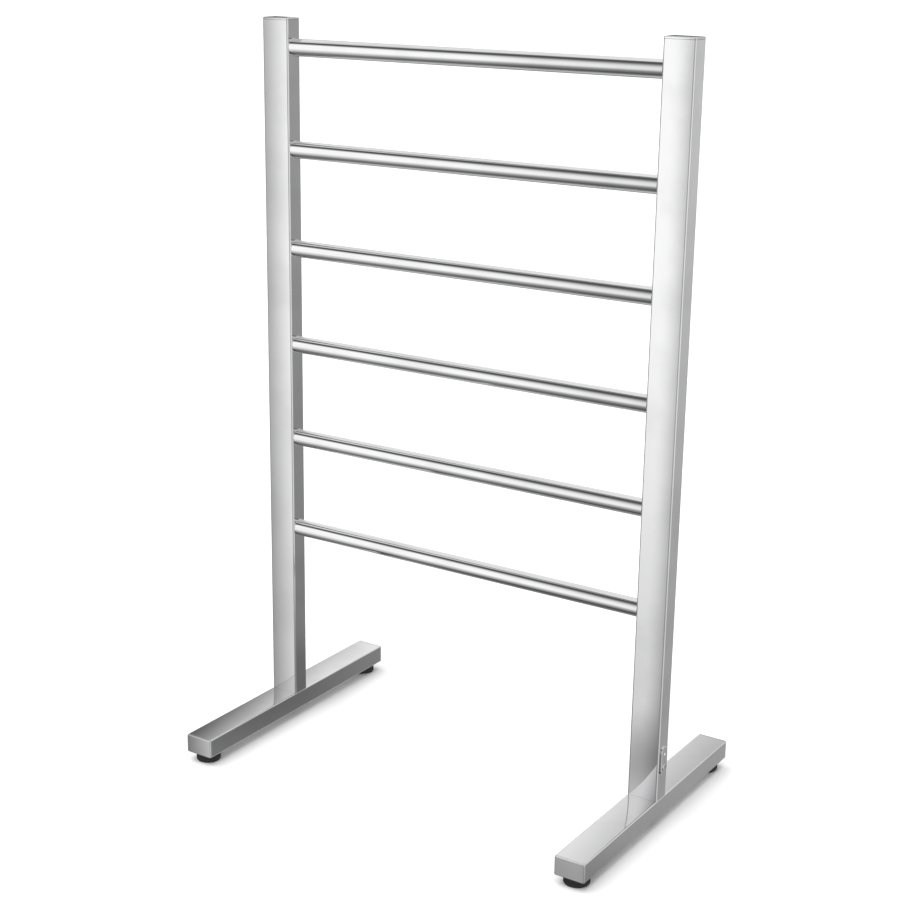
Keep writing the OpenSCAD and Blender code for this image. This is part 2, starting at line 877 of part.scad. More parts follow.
left_upright();
right_upright();
top_cap(-1);  // left_top_cap
top_cap(1);  // right_top_cap
for (i = [1 : rung_count])
    rung(i);
foot_bar(-1);  // left_foot_bar
foot_bar(1);  // right_foot_bar
end_cap(-1, -1);  // front_left_end_cap
end_cap(1, -1);  // front_right_end_cap
end_cap(-1, 1);  // rear_left_end_cap
end_cap(1, 1);  // rear_right_end_cap
foot_pad(-1, -1);  // front_left_foot_pad
foot_pad(1, -1);  // front_right_foot_pad
foot_pad(-1, 1);  // rear_left_foot_pad
foot_pad(1, 1);  // rear_right_foot_pad
foot_stud(-1, -1);  // front_left_foot_stud
foot_stud(1, -1);  // front_right_foot_stud
foot_stud(-1, 1);  // rear_left_foot_stud
foot_stud(1, 1);  // rear_right_foot_stud
foot_weld_nuts();
base_plate(-1);  // left_base_plate
base_plate(1);  // right_base_plate
base_bolts();
base_washers();
access_plugs();
heating_cable();
cable_splices();
element_lead();
return_lead();
supply_lead();
switch_lead();
earth_lead();
earth_screw();
terminal_block();
terminal_screws();
thermal_cutout();
cutout_clip();
switch_bezel();
switch_housing();
switch_blades();
power_button();
button_spring();
indicator_lens();
indicator_led();
cord_gland();
gland_nut();
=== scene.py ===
"""Looks of a freestanding towel warmer rack: polished tube, rubber feet, a small push switch."""

from __future__ import annotations

import logging
import math
from dataclasses import dataclass
from enum import Enum
from typing import Callable, Iterable, Sequence, Union

import bmesh
import bpy
from mathutils import Matrix, Vector

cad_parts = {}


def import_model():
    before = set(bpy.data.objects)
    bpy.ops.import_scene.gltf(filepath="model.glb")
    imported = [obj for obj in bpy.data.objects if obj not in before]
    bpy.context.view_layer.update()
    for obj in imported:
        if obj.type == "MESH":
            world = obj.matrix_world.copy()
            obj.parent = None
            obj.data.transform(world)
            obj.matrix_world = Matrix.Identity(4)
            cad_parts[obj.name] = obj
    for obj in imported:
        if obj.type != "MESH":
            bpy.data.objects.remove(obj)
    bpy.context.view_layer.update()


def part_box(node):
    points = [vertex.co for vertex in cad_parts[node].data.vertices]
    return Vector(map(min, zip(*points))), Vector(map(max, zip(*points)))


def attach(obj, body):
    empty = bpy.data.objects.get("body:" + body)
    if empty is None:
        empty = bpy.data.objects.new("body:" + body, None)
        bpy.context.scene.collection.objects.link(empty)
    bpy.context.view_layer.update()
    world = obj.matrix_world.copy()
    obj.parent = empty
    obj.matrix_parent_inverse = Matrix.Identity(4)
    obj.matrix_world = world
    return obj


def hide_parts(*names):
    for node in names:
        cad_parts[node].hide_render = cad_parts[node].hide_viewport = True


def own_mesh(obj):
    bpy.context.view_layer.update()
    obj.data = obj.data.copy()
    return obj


LOG = logging.getLogger("towel_rack")
MM = 0.001
MERGE = 1e-6

ALONG_X = Vector((1, 0, 0))
ALONG_Y = Vector((0, 1, 0))
ALONG_Z = Vector((0, 0, 1))

Colour = tuple[float, float, float]
Profile = Sequence[tuple[float, float]]
Value = Union[float, "Signal"]


class Side(Enum):
    """The two sides of the rack."""

    LEFT = "left"
    RIGHT = "right"


class Corner(Enum):
    """The four corners that stand on the floor."""

    FRONT_LEFT = "front_left"
    FRONT_RIGHT = "front_right"
    REAR_LEFT = "rear_left"
    REAR_RIGHT = "rear_right"

    @property
    def toward_front(self) -> bool:
        """True for the two corners at the front of the rack."""
        return self in (Corner.FRONT_LEFT, Corner.FRONT_RIGHT)


class Slot(Enum):
    """The names of the model's material slots."""

    POLISHED = "polished_steel"
    ZINC = "zinc_plated_steel"
    RUBBER = "black_rubber"
    NYLON = "black_nylon"
    LENS = "clear_lens"
    SPRING = "spring_steel"


# ---- shader bench


class Signal:
    """A number that varies over a surface, written with ordinary arithmetic."""

    def __init__(self, bench: "Bench", socket: bpy.types.NodeSocket) -> None:
        """Holds a socket and the bench that it belongs to."""
        self.bench = bench
        self.socket = socket

    def _with(self, operation: str, first: Value, second: Value) -> "Signal":
        """Adds one Math node.

        Args:
            operation: The Math node's operation.
            first: The upper value.
            second: The lower value.

        Returns:
            The node's result.
        """
        made = self.bench.node("ShaderNodeMath", {"operation": operation}, {0: first, 1: second})
        return Signal(self.bench, made.outputs[0])

    def __add__(self, other: Value) -> "Signal":
        """Sum."""
        return self._with("ADD", self, other)

    __radd__ = __add__

    def __sub__(self, other: Value) -> "Signal":
        """Difference."""
        return self._with("SUBTRACT", self, other)

    def __rsub__(self, other: Value) -> "Signal":
        """Difference from a plain number."""
        return self._with("SUBTRACT", other, self)

    def __mul__(self, other: Value) -> "Signal":
        """Product."""
        return self._with("MULTIPLY", self, other)

    __rmul__ = __mul__

    def __truediv__(self, other: Value) -> "Signal":
        """Quotient."""
        return self._with("DIVIDE", self, other)

    def __pow__(self, other: Value) -> "Signal":
        """Power."""
        return self._with("POWER", self, other)

    def __abs__(self) -> "Signal":
        """Size without its sign."""
        return self._with("ABSOLUTE", self, 0.0)

    def most(self, other: Value) -> "Signal":
        """The larger of two."""
        return self._with("MAXIMUM", self, other)

    def eased(self, start: float, end: float, low: float = 0.0, high: float = 1.0) -> "Signal":
        """Eases from one level to another.

        Args:
            start: The value at which the result is low.
            end: The value at which the result is high.
            low: The result before start.
            high: The result after end.

        Returns:
            The eased signal.
        """
        flip = start > end
        made = self.bench.node(
            "ShaderNodeMapRange",
            {"interpolation_type": "SMOOTHSTEP", "clamp": True},
            {
                "Value": self,
                "From Min": end if flip else start,
                "From Max": start if flip else end,
                "To Min": high if flip else low,
                "To Max": low if flip else high,
            },
        )
        return Signal(self.bench, made.outputs["Result"])


class Bench:
    """Adds nodes to one node tree."""

    def __init__(self, tree: bpy.types.NodeTree) -> None:
        """Takes over an empty node tree."""
        self.tree = tree
        self.tree.nodes.clear()

    def node(
        self, kind: str, settings: dict | None = None, sockets: dict | None = None
    ) -> bpy.types.Node:
        """Adds one node.

        Args:
            kind: The node's type.
            settings: Its properties, set first.
            sockets: Values or links for its inputs, by name or number.

        Returns:
            The new node.
        """
        made = self.tree.nodes.new(kind)
        for key, value in (settings or {}).items():
            setattr(made, key, value)
        for key, value in (sockets or {}).items():
            self._feed(made.inputs[key], value)
        return made

    def _feed(self, socket: bpy.types.NodeSocket, value: object) -> None:
        """Links a socket, or sets its value.

        Args:
            socket: The input.
            value: A signal, an output socket, a number or a tuple.
        """
        if isinstance(value, Signal):
            self.tree.links.new(value.socket, socket)
        elif isinstance(value, bpy.types.NodeSocket):
            self.tree.links.new(value, socket)
        elif socket.type == "RGBA" and len(value) == 3:
            socket.default_value = (*value, 1.0)
        else:
            socket.default_value = value

    def place(self, scale: Sequence[float] = (1, 1, 1)) -> bpy.types.NodeSocket:
        """Object coordinates, stretched.

        Args:
            scale: Stretch along each axis.

        Returns:
            The vector socket.
        """
        source = self.node("ShaderNodeTexCoord").outputs["Object"]
        sockets = {"Vector": source, "Scale": scale}
        return self.node("ShaderNodeMapping", None, sockets).outputs["Vector"]

    def split(self, vector: bpy.types.NodeSocket) -> list[Signal]:
        """The three parts of a vector."""
        made = self.node("ShaderNodeSeparateXYZ", None, {"Vector": vector})
        return [Signal(self, part) for part in made.outputs]

    def noise(
        self, scale: float, detail: float = 2.0, stretch: Sequence[float] = (1, 1, 1)
    ) -> Signal:
        """Soft noise.

        Args:
            scale: Blobs per metre.
            detail: Octaves.
            stretch: Stretch of the pattern along each axis.

        Returns:
            A signal near 0.5.
        """
        sockets = {"Vector": self.place(stretch), "Scale": scale, "Detail": detail}
        return Signal(self, self.node("ShaderNodeTexNoise", None, sockets).outputs[0])

    def blend(self, share: Value, low: object, high: object) -> bpy.types.NodeSocket:
        """Mixes two colours.

        Args:
            share: 0 for low, 1 for high.
            low: A colour or colour socket.
            high: A colour or colour socket.

        Returns:
            The colour socket.
        """
        made = self.node("ShaderNodeMix", {"data_type": "RGBA"}, {0: share, 6: low, 7: high})
        return made.outputs[2]

    def bump(self, height: Signal, distance: float, strength: float = 1.0) -> bpy.types.NodeSocket:
        """A bumped normal.

        Args:
            height: The height pattern, about 0 to 1.
            distance: Its real depth, in metres.
            strength: How much of it shows.

        Returns:
            The normal socket.
        """
        sockets = {"Height": height, "Distance": distance, "Strength": strength}
        return self.node("ShaderNodeBump", None, sockets).outputs["Normal"]

    def surface(self, sockets: dict) -> None:
        """Ends the tree in one Principled shader."""
        shader = self.node("ShaderNodeBsdfPrincipled", None, sockets)
        self.node("ShaderNodeOutputMaterial", None, {"Surface": shader.outputs[0]})


# ---- finishes


@dataclass(frozen=True)
class Finish:
    """A named finish that draws itself on a bench."""

    name: str

    def draw(self, bench: Bench) -> None:
        """Draws the finish's nodes."""
        raise NotImplementedError

    def material(self) -> bpy.types.Material:
        """The finish as a material, made once."""
        found = bpy.data.materials.get(self.name)
        if found is None:
            found = bpy.data.materials.new(self.name)
            found.use_nodes = True
            self.draw(Bench(found.node_tree))
        return found


@dataclass(frozen=True)
class MirrorSteel(Finish):
    """Stainless steel polished to a mirror, with the faint waviness of drawn tube.

    The polishing lines run along one axis, handling leaves light haze, and a wide face
    of drawn tube is a little crowned between its corners.
    """

    along: tuple[float, float, float] = (1.0, 1.0, 0.04)
    crown: float = 0.0
    middle: float = 0.28
    half_width: float = 0.02
    tint: Colour = (0.635, 0.635, 0.64)
    haze: Colour = (0.585, 0.585, 0.59)

    def draw(self, bench: Bench) -> None:
        """Draws tint, haze, polishing lines, waviness and crown."""
        haze = bench.noise(14.0, 4.0).eased(0.42, 0.72)
        lines = bench.noise(1400.0, 2.0, self.along)
        wave = bench.noise(7.0, 1.0) * 0.00035 + 0.0000025 * lines
        if self.crown:
            off = (abs(bench.split(bench.place())[0]) - self.middle) / self.half_width
            wave = wave + self.crown * (1.0 - off * off)
        bench.surface(
            {
                "Base Color": bench.blend(haze, self.tint, self.haze),
                "Metallic": 1.0,
                "Roughness": 0.035 + 0.03 * haze + 0.015 * lines,
                "Normal": bench.bump(wave, 1.0, 1.0),
            }
        )


@dataclass(frozen=True)
class PlainSteel(Finish):
    """Plated or bare steel with a fine grain."""

    dark: Colour = (0.36, 0.37, 0.39)
    light: Colour = (0.58, 0.60, 0.62)
    gloss: float = 0.3

    def draw(self, bench: Bench) -> None:
        """Draws the grain and its tint."""
        cloud = bench.noise(160.0, 3.0)
        grain = bench.noise(2600.0, 2.0)
        bench.surface(
            {
                "Base Color": bench.blend(cloud.eased(0.3, 0.7), self.dark, self.light),
                "Metallic": 1.0,
                "Roughness": self.gloss + 0.12 * cloud + 0.08 * grain,
                "Normal": bench.bump(grain, 0.00002, 0.6),
            }
        )


@dataclass(frozen=True)
class Moulded(Finish):
    """Moulded rubber or plastic with a fine moulded texture."""

    colour: Colour = (0.012, 0.012, 0.013)
    worn: Colour = (0.045, 0.045, 0.048)
    gloss: float = 0.55
    grain_depth: float = 0.00004

    def draw(self, bench: Bench) -> None:
        """Draws the moulded grain and light dusting."""
        dust = bench.noise(90.0, 4.0).eased(0.45, 0.8)
        grain = bench.noise(1800.0, 2.0)
        bench.surface(
            {
                "Base Color": bench.blend(dust * 0.6, self.colour, self.worn),
                "Roughness": self.gloss + 0.15 * dust + 0.1 * grain,
                "Normal": bench.bump(grain, self.grain_depth, 0.7),
            }
        )


@dataclass(frozen=True)
class BandedSleeve(Finish):
    """A lead's sleeve with a second colour in stripes across it."""

    first: Colour = (0.05, 0.30, 0.05)
    second: Colour = (0.75, 0.60, 0.03)

    def draw(self, bench: Bench) -> None:
        """Draws the two colours in bands."""
        sockets = {"Vector": bench.place((0.6, 0.4, 1.0)), "Scale": 55.0, "Distortion": 0.2}
        made = bench.node("ShaderNodeTexWave", {"bands_direction": "Z"}, sockets)
        wave = Signal(bench, made.outputs["Fac"])
        grain = bench.noise(1500.0)
        bench.surface(
            {
                "Base Color": bench.blend(wave.eased(0.5, 0.62), self.first, self.second),
                "Roughness": 0.38 + 0.15 * grain,
                "Normal": bench.bump(grain, 0.00002, 0.6),
            }
        )


@dataclass(frozen=True)
class ClearLens(Finish):
    """A pale moulded lamp lens, unlit, with a glossy skin over a faintly clouded body."""

    body: Colour = (0.66, 0.67, 0.68)
    cloudy: Colour = (0.80, 0.81, 0.82)

    def draw(self, bench: Bench) -> None:
        """Draws the clouded body under its skin."""
        cloud = bench.noise(700.0, 3.0)
        bench.surface(
            {
                "Base Color": bench.blend(cloud.eased(0.35, 0.65), self.body, self.cloudy),
                "Roughness": 0.10 + 0.08 * cloud,
                "Coat Weight": 0.4 + 0.3 * cloud,
                "Normal": bench.bump(cloud, 0.00002, 0.5),
            }
        )


UPRIGHT_STEEL = MirrorSteel("polished_steel_upright", (1.0, 1.0, 0.04), 0.35 * MM)
RUNG_STEEL = MirrorSteel("polished_steel_rung", (0.04, 1.0, 1.0))
FOOT_STEEL = MirrorSteel("polished_steel_foot_bar", (1.0, 0.04, 1.0), 0.3 * MM)
FITTING_STEEL = MirrorSteel("polished_steel_fitting", (1.0, 1.0, 1.0))
ZINC = PlainSteel("zinc_plate")
RAW = PlainSteel("mill_steel", (0.20, 0.20, 0.21), (0.36, 0.36, 0.37), 0.42)
SPRING = PlainSteel("spring_temper_steel", (0.26, 0.27, 0.30), (0.46, 0.47, 0.50), 0.25)
BRASS = PlainSteel("brass", (0.52, 0.36, 0.12), (0.74, 0.55, 0.22), 0.26)
RUBBER = Moulded("black_rubber")
NYLON = Moulded("black_nylon", (0.016, 0.016, 0.017), (0.04, 0.04, 0.042), 0.4, 0.00003)
SILICONE = Moulded("red_silicone", (0.38, 0.03, 0.02), (0.52, 0.10, 0.07), 0.5, 0.00002)
WHITE_NYLON = Moulded("white_nylon", (0.72, 0.71, 0.67), (0.58, 0.56, 0.52), 0.4, 0.00002)
BROWN_SLEEVE = Moulded("brown_sleeve", (0.13, 0.05, 0.02), (0.20, 0.10, 0.05), 0.42, 0.00002)
BLUE_SLEEVE = Moulded("blue_sleeve", (0.02, 0.09, 0.42), (0.08, 0.16, 0.48), 0.42, 0.00002)
EARTH_SLEEVE = BandedSleeve("green_yellow_sleeve")
LENS = ClearLens("clear_lens")

CARRIED: dict[Finish, tuple[str, ...]] = {
    ZINC: ("foot_weld_nuts", "base_bolts", "base_washers"),
    RAW: ("left_base_plate", "right_base_plate"),
    SPRING: ("cutout_clip",),
    BRASS: ("earth_screw", "terminal_screws", "switch_blades"),
    NYLON: ("switch_housing", "gland_nut", "thermal_cutout"),
    SILICONE: ("heating_cable",),
    WHITE_NYLON: ("cable_splices", "terminal_block", "indicator_led"),
    BROWN_SLEEVE: ("element_lead", "supply_lead", "switch_lead"),
    BLUE_SLEEVE: ("return_lead",),
    EARTH_SLEEVE: ("earth_lead",),
}


# ---- workshop


class Workpiece:
    """One mesh on the bench, shaped with mesh operators and then dressed."""

    def __init__(self) -> None:
        """Starts an empty mesh."""
        self.bm = bmesh.new()

    def block(self, low: Vector, high: Vector) -> list[bmesh.types.BMVert]:
        """Adds a block between two corners.

        Args:
            low: Lowest corner.
            high: Highest corner.

        Returns:
            Its corners.
        """
        verts = bmesh.ops.create_cube(self.bm, size=1.0)["verts"]
        size = high - low
        bmesh.ops.scale(self.bm, vec=size, verts=verts)
        bmesh.ops.translate(self.bm, vec=(low + high) / 2, verts=verts)
        return verts

    def edges_where(self, test: Callable[[Vector, Vector], bool]) -> list[bmesh.types.BMEdge]:
        """The edges whose two ends pass a test."""
        return [e for e in self.bm.edges if test(e.verts[0].co, e.verts[1].co)]

    def soften(self, edges: Iterable[bmesh.types.BMEdge], radius: float, steps: int) -> None:
        """Rounds edges.

        Args:
            edges: The edges to round.
            radius: Radius of the rounding.
            steps: Facets across it.
        """
        bmesh.ops.bevel(
            self.bm,
            geom=list(edges),
            offset=radius,
            offset_type="OFFSET",
            affect="EDGES",
            segments=steps,
            profile=0.5,
            material=-1,
            clamp_overlap=True,
        )

    def turn(self, profile: Profile, centre: Vector, axis: Vector, steps: int) -> None:
        """Turns a profile on the lathe.

        Args:
            profile: Radius and height of each point along the axis.
            centre: Where the axis and height 0 meet.
            axis: The axis, of length 1.
            steps: Facets around.
        """
        out = axis.to_track_quat("Z", "X").to_matrix() @ ALONG_X
        verts = [self.bm.verts.new(centre + out * r + axis * h) for r, h in profile]
        edges = [self.bm.edges.new(pair) for pair in zip(verts, verts[1:])]
        bmesh.ops.spin(
            self.bm,
            geom=verts + edges,
            cent=centre,
            axis=axis,
            angle=math.tau,
            steps=steps,
            use_merge=True,
        )

    def weld(self) -> None:
        """Merges doubled points and turns the faces outwards."""
        bmesh.ops.remove_doubles(self.bm, verts=self.bm.verts, dist=MERGE)
        bmesh.ops.dissolve_degenerate(self.bm, edges=self.bm.edges, dist=MERGE / 2)
        bmesh.ops.recalc_face_normals(self.bm, faces=self.bm.faces)

    def lift(self, name: str, finish: Finish) -> bpy.types.Object:
        """Lifts the mesh off the bench.

        Args:
            name: The new object's name.
            finish: Its finish.

        Returns:
            The object, smooth all over.
        """
        mesh = bpy.data.meshes.new(name)
        for face in self.bm.faces:
            face.smooth = True
        self.bm.to_mesh(mesh)
        self.bm.free()
        mesh.materials.append(finish.material())
        piece = bpy.data.objects.new(name, mesh)
        bpy.context.scene.collection.objects.link(piece)
        return piece

    def release(
        self,
        name: str,
        finish: Finish,
        slot: Slot,
        body: str,
        nodes: Sequence[str],
        crease: float = 32.0,
        weighted: bool = False,
    ) -> bpy.types.Object:
        """Takes the finished mesh off the bench as a piece.

        Args:
            name: The piece's name.
            finish: Its finish.
            slot: Not used.
            body: The body that it rides on.
            nodes: The solids that it stands for.
            crease: Edges sharper than this, in degrees, stay crisp.
            weighted: True to keep wide flats flat beside their rounded edges.

        Returns:
            The piece.
        """
        piece = self.lift(name, finish)
        piece.data.set_sharp_from_angle(angle=math.radians(crease))
        if weighted:
            settle = piece.modifiers.new("even_normals", "WEIGHTED_NORMAL")
            settle.mode = "FACE_AREA"
            settle.weight = 100
            settle.keep_sharp = True
        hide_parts(*nodes)
        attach(piece, body)
        LOG.info("%s: %d faces, rides on %s", name, len(piece.data.polygons), body)
        return piece


def turned(profile: Profile, centre: Vector, axis: Vector, steps: int) -> Workpiece:
    """Turns a whole piece and closes its seam and poles.

    Args:
        profile: Radius and height of each point along the axis.
        centre: Where the axis and height 0 meet.
        axis: The axis, of length 1.
        steps: Facets around.

    Returns:
        The piece on the bench.
    """
    work = Workpiece()
    work.turn(profile, centre, axis, steps)
    work.weld()
    return work


def merged_copy(node: str) -> Workpiece:
    """A merged copy of a solid's mesh.

    Args:
        node: The solid's name.

    Returns:
        The copy, with doubled points merged and flats made whole.
    """
    work = Workpiece()
    work.bm.from_mesh(bpy.data.objects[node].data)
    bmesh.ops.remove_doubles(work.bm, verts=work.bm.verts, dist=2e-6)
    bmesh.ops.dissolve_limit(
        work.bm,
        angle_limit=math.radians(0.3),
        use_dissolve_boundaries=False,
        verts=work.bm.verts,
        edges=work.bm.edges,
    )
    return work


def on_axis(node: str, x: float) -> Vector:
    """The point at one place along X on the middle line of a solid."""
    low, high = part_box(node)
    return Vector((x, (low.y + high.y) / 2, (low.z + high.z) / 2))


def quarter(steps: int, parts: int) -> list[float]:
    """Angles from 0 up to a quarter turn.

    Args:
        steps: How many angles.
        parts: How many of them would make the whole quarter.

    Returns:
        The angles, in radians.
    """
    return [math.radians(90 * i / parts) for i in range(steps)]


# ---- pieces


@dataclass
class TubeMember:
    """A length of rectangular tube, with the holes of its solid."""

    node: str
    finish: Finish
    wall: float = 1.2 * MM
    deburr: float = 0.35 * MM

    def build(self) -> Workpiece:
        """Deburrs the outer rims of both ends of a merged copy."""
        work = merged_copy(self.node)
        low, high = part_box(self.node)
        along = max(range(3), key=lambda i: high[i] - low[i])
        rims = work.edges_where(lambda a, b: all(self._on_rim(p, low, high, along) for p in (a, b)))
        work.soften(rims, self.deburr, 2)
        return work

    def _on_rim(self, point: Vector, low: Vector, high: Vector, along: int) -> bool:
        """True for a point on the outer rim of either end.

        Args:
            point: The point.
            low: The tube's lowest corner.
            high: Its highest corner.
            along: The axis that the tube runs along.

        Returns:
            Whether it is on a rim.
        """
        if min(abs(point[along] - low[along]), abs(point[along] - high[along])) > 1e-6:
            return False
        depth = [min(point[i] - low[i], high[i] - point[i]) for i in range(3) if i != along]
        return min(depth) < 0.9 * self.wall

    def dress(self, work: Workpiece) -> bpy.types.Object:
        """Gives the tube its finish and its body."""
        name = f"{self.node}_tube"
        return work.release(name, self.finish, Slot.POLISHED, "rack", [self.node], 28.0, True)


@dataclass
class FaceCap:
    """A pressed cap that closes a tube end: a rounded plate and the plug behind it."""

    node: str
    outward: Vector
    finish: Finish
    plate: float = 3 * MM
    corner: float = 2 * MM
    edge: float = 1.2 * MM
    seam: float = 0.45 * MM
    plug_inset: float = 1.3 * MM
    plug_gap: float = 0.05 * MM

    def build(self) -> Workpiece:
        """Shapes the plate and its plug from the solid's own box."""
        low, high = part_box(self.node)
        work = Workpiece()
        axis = max(range(3), key=lambda i: abs(self.outward[i]))
        top = (high if self.outward[axis] > 0 else low)[axis]
        base = top - math.copysign(self.plate, self.outward[axis])
        plate_low, plate_high = low.copy(), high.copy()
        plate_low[axis], plate_high[axis] = min(top, base), max(top, base)
        work.block(plate_low, plate_high)
        along = [e for e in work.bm.edges if abs(e.verts[0].co[axis] - e.verts[1].co[axis]) > 1e-6]
        work.soften(along, self.corner, 6)
        work.soften(self._rim(work, axis, top), self.edge, 5)
        work.soften(self._rim(work, axis, base), self.seam, 1)
        plug_low, plug_high = low.copy(), high.copy()
        for i in range(3):
            if i != axis:
                plug_low[i] += self.plug_inset
                plug_high[i] -= self.plug_inset
        inner = base - math.copysign(self.plug_gap, self.outward[axis])
        end = (low if self.outward[axis] > 0 else high)[axis]
        plug_low[axis], plug_high[axis] = min(inner, end), max(inner, end)
        work.block(plug_low, plug_high)
        return work

    @staticmethod
    def _rim(work: Workpiece, axis: int, level: float) -> list[bmesh.types.BMEdge]:
        """The edges that lie at one level of an axis."""
        return work.edges_where(lambda a, b: max(abs(p[axis] - level) for p in (a, b)) < 1e-7)

    def dress(self, work: Workpiece) -> bpy.types.Object:
        """Gives the cap its finish and its body."""
        name = f"{self.node}_plate"
        return work.release(name, self.finish, Slot.POLISHED, "rack", [self.node], 40.0, True)


@dataclass
class Rung:
    """A round rung: a bare tube with a fine polished weld fillet where it meets each upright."""

    number: int
    inner_face: float
    fillet: float = 0.4 * MM
    wall: float = 1.2 * MM
    facets: int = 96

    def build(self) -> Workpiece:
        """Turns the rung and its two fillets about its own axis."""
        low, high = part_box(f"rung_{self.number}")
        radius, half = (high.z - low.z) / 2, (high.x - low.x) / 2
        fillet = []
        for turn in quarter(5, 4):
            out = self.fillet * (1 - math.sin(turn))
            back = self.fillet * (1 - math.cos(turn))
            fillet.append((radius + out, self.inner_face - back))
        bore = radius - self.wall
        right = [*reversed(fillet), (radius, self.inner_face), (radius, half), (bore, half)]
        profile = [*((r, -h) for r, h in reversed(right)), *right, (bore, -half)]
        return turned(profile, on_axis(f"rung_{self.number}", 0), ALONG_X, self.facets)

    def dress(self, work: Workpiece) -> bpy.types.Object:
        """Gives the rung its finish and its body."""
        name = f"rung_{self.number}"
        return work.release(f"{name}_bar", RUNG_STEEL, Slot.POLISHED, "rack", [name])


@dataclass
class LevellingFoot:
    """A rubber foot moulded round a threaded stud."""

    corner: Corner
    chamfer: float = 1.5 * MM
    groove: float = 0.6 * MM
    rib_start: float = 4.0 * MM
    rib_pitch: float = 2.1 * MM
    rib_depth: float = 0.6 * MM
    rib_count: int = 5
    seat: float = 4.5 * MM
    seat_depth: float = 0.8 * MM
    thread: float = 4.0 * MM
    pitch: float = 1.25 * MM

    def build_pad(self) -> Workpiece:
        """Turns the rubber pad, with its groove and its ribbed underside."""
        low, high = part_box(f"{self.corner.value}_foot_pad")
        centre = Vector(((low.x + high.x) / 2, (low.y + high.y) / 2, low.z))
        r = (high.x - low.x) / 2
        h = high.z - low.z
        c, g = self.chamfer, self.groove
        ribs = []
        for i in range(self.rib_count):
            inner, d = self.rib_start + i * self.rib_pitch, self.rib_depth
            ribs += [(inner, d), (inner + 0.4 * MM, 0.0)]
            ribs += [(inner + 1.3 * MM, 0.0), (inner + 1.7 * MM, d)]
        profile = [
            (0.0, self.rib_depth),
            *ribs,
            (r - c - 0.4 * MM, 0.0),
            (r - c, 0.0),
            (r - 0.4 * c, 0.25 * c),
            (r, c),
            (r, h * 0.5 - g),
            (r - g * 0.7, h * 0.5 - g * 0.4),
            (r - g * 0.7, h * 0.5 + g * 0.4),
            (r, h * 0.5 + g),
            (r, h - c),
            (r - 0.4 * c, h - 0.25 * c),
            (r - c, h),
            (self.seat, h),
            (self.seat, h - self.seat_depth),
            (0.0, h - self.seat_depth),
        ]
        return turned(profile, centre, ALONG_Z, 72)

    def build_stud(self) -> Workpiece:
        """Turns the stud, with its thread."""
        low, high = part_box(f"{self.corner.value}_foot_stud")
        centre = Vector(((low.x + high.x) / 2, (low.y + high.y) / 2, low.z))
        length = high.z - low.z
        r, p = self.thread, self.pitch
        root = r - 0.55 * p
        profile = [(0.0, 0.0), (r - 0.6 * MM, 0.0)]
        level = 0.4 * MM
        while level + p < length - 0.6 * MM:
            profile += [(root, level), (r, level + 0.45 * p), (r, level + 0.6 * p)]
            level += p
        profile += [(root, level), (r - 0.8 * MM, length), (0.0, length)]
        return turned(profile, centre, ALONG_Z, 36)

    def dress(self) -> None:
        """Builds and dresses both pieces."""
        name, body = self.corner.value, f"{self.corner.value}_foot"
        pad, stud = [f"{name}_foot_pad"], [f"{name}_foot_stud"]
        self.build_pad().release(f"{name}_rubber_foot", RUBBER, Slot.RUBBER, body, pad)
        self.build_stud().release(f"{name}_threaded_stud", ZINC, Slot.ZINC, body, stud, 20.0)


@dataclass
class SwitchPlate:
    """The pill-shaped plate of the switch, with softened hole rims and a ring round the button."""

    node: str = "switch_bezel"
    rim: float = 0.22 * MM
    ring_inner: float = 5.1 * MM
    ring_width: float = 0.5 * MM

    def build(self) -> Workpiece:
        """Softens the rims of the holes in a merged copy of the plate."""
        work = merged_copy(self.node)
        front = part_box(self.node)[1].x
        rims = []
        for hole in ("power_button", "indicator_lens"):
            low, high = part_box(hole)
            round_hole = self._around(on_axis(hole, front), (high.z - low.z) / 2, front)
            rims += work.edges_where(round_hole)
        work.soften(rims, self.rim, 3)
        return work

    @staticmethod
    def _around(middle: Vector, radius: float, level: float) -> Callable[[Vector, Vector], bool]:
        """A test for edges that run round a hole's rim.

        Args:
            middle: The hole's middle.
            radius: A radius that the rim lies within.
            level: The rim's place along X.

        Returns:
            The test.
        """

        def near(point: Vector) -> bool:
            """True for a point on the rim."""
            return abs(point.x - level) < 1e-6 and (point - middle).length < radius + 0.1 * MM

        return lambda a, b: near(a) and near(b)

    def build_ring(self) -> Workpiece:
        """Turns the thin raised ring that frames the button."""
        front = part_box(self.node)[1].x
        inner = self.ring_inner
        outer = inner + self.ring_width
        middle = (inner + outer) / 2
        profile = [
            (inner, -0.1 * MM),
            (inner, 0.02 * MM),
            (inner + 0.08 * MM, 0.1 * MM),
            (middle, 0.14 * MM),
            (outer - 0.08 * MM, 0.1 * MM),
            (outer, 0.02 * MM),
            (outer, -0.1 * MM),
            (inner, -0.1 * MM),
        ]
        return turned(profile, on_axis("power_button", front), ALONG_X, 64)

    def dress(self) -> None:
        """Builds and dresses the plate and its ring."""
        kind = (FITTING_STEEL, Slot.POLISHED, "rack", [self.node])
        self.build().release("switch_plate", *kind, 30.0, True)
        self.build_ring().release("switch_button_ring", *kind, 50.0)


